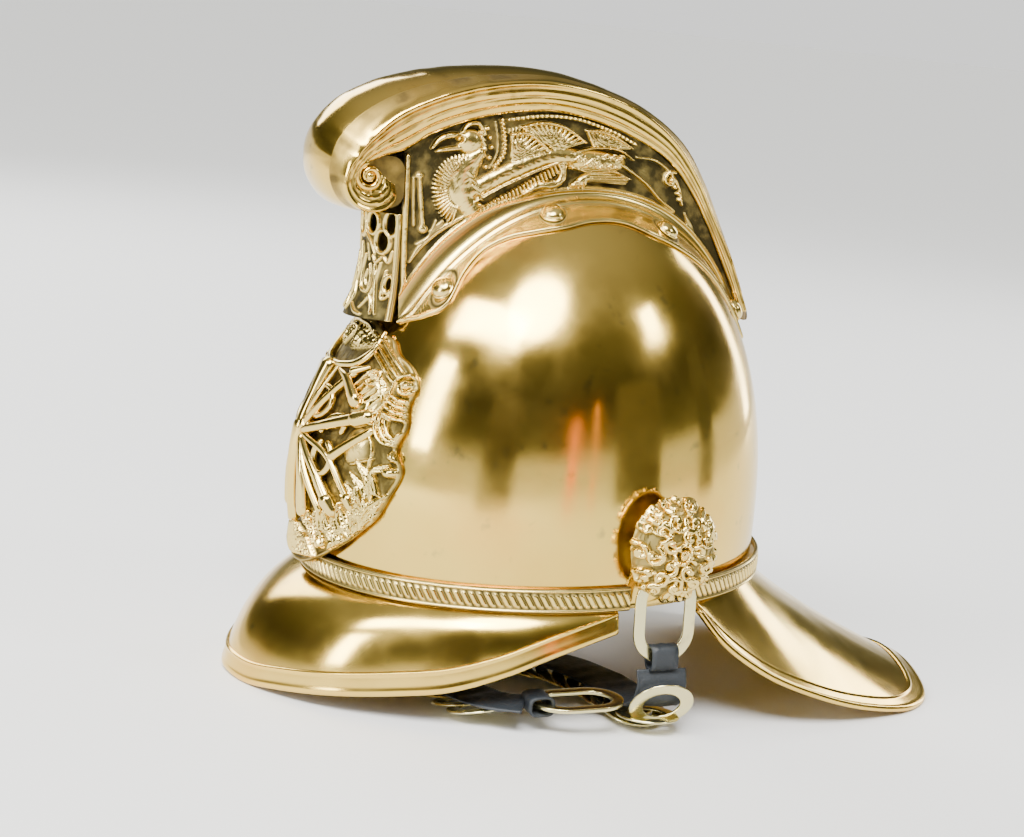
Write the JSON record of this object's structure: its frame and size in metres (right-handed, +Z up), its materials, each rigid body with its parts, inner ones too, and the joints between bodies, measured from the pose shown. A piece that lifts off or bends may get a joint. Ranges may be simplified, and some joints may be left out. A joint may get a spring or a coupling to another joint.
{
  "type": "firefighter helmet",
  "caption": "Brass parade fire helmet with embossed comb, front badge, front peak, neck guard, ear rosettes, leather liner and a hanging ring chin chain.",
  "frame": {"origin": "bottom centre of the helmet's box, on the surface that the front peak and the neck guard stand on", "axes": "+Z up, -Y out of the front badge, +X to the wearer's left, where the chin chain hangs"},
  "size_m": [0.226, 0.3616, 0.2932],
  "materials": {
    "polished_brass": "polished, lightly hand-beaten, with faint orange tarnish",
    "headband_brass": "gadrooned, dark patina in the hollows",
    "binding_brass": "polished folded strip",
    "comb_brass": "polished, darker in the grooves",
    "embossed_brass": "embossed, grey-green patina on the ground",
    "badge_brass": "deeply embossed, patina in the hollows",
    "rosette_brass": "cast relief, polished high spots",
    "rivet_brass": "polished heads",
    "chain_brass": "flat stamped rings, worn",
    "chain_leather": "old blue-black leather, dry and creased",
    "liner_leather": "worn brown leather",
    "liner_cord": "braided cotton lace"
  },
  "bodies": {
    "helmet": {"badge_emblem": "badge_brass", "badge_nuts": "rivet_brass", "badge_studs": "rivet_brass", "chain_hook_left": "rivet_brass", "chain_hook_right": "rivet_brass", "comb_cap": "comb_brass", "comb_front_fret": "embossed_brass", "comb_rivet_washers": "rivet_brass", "comb_rivets": "rivet_brass", "comb_scroll_backing": "comb_brass", "comb_scroll_bosses": "comb_brass", "comb_side_left": "embossed_brass", "comb_side_right": "embossed_brass", "front_badge_plate": "badge_brass", "front_peak": "polished_brass", "front_peak_binding": "binding_brass", "front_peak_rivets": "rivet_brass", "headband_front": "headband_brass", "headband_rear": "headband_brass", "liner_clips": "rivet_brass", "liner_lace": "liner_cord", "liner_sweatband": "liner_leather", "liner_tongues": "liner_leather", "neck_guard": "polished_brass", "neck_guard_binding": "binding_brass", "neck_guard_rivets": "rivet_brass", "rosette_left": "rosette_brass", "rosette_nut_left": "rivet_brass", "rosette_nut_right": "rivet_brass", "rosette_right": "rosette_brass", "rosette_spacer_left": "rivet_brass", "rosette_spacer_right": "rivet_brass", "rosette_stud_left": "rivet_brass", "rosette_stud_right": "rivet_brass", "rosette_washer_left": "rivet_brass", "rosette_washer_right": "rivet_brass", "skull_shell": "polished_brass"},
    "hook_link": {"hook_link": "chain_brass"},
    "chin_chain": {"chin_chain_leather": "chain_leather", "chin_chain_rings": "chain_brass"},
    "end_link": {"chin_chain_end_link": "chain_brass"}
  },
  "joints": [
    {"name": "hook_link_swing", "type": "hinge", "parent": "helmet", "child": "hook_link", "pos_m": [0.0968, -0.00342, 0.0708], "axis": [1, 0, 0], "range_deg": [-5, 8]},
    {"name": "chin_chain_swing", "type": "hinge", "parent": "hook_link", "child": "chin_chain", "pos_m": [0.0968, -0.00148, 0.03696], "axis": [0, 0.9984, 0.0572], "range_deg": [-25, 20]},
    {"name": "end_link_swing", "type": "hinge", "parent": "chin_chain", "child": "end_link", "pos_m": [0.0885, -0.05642, 0.01248], "axis": [1, 0, 0], "range_deg": [-5, 20]}
  ]
}
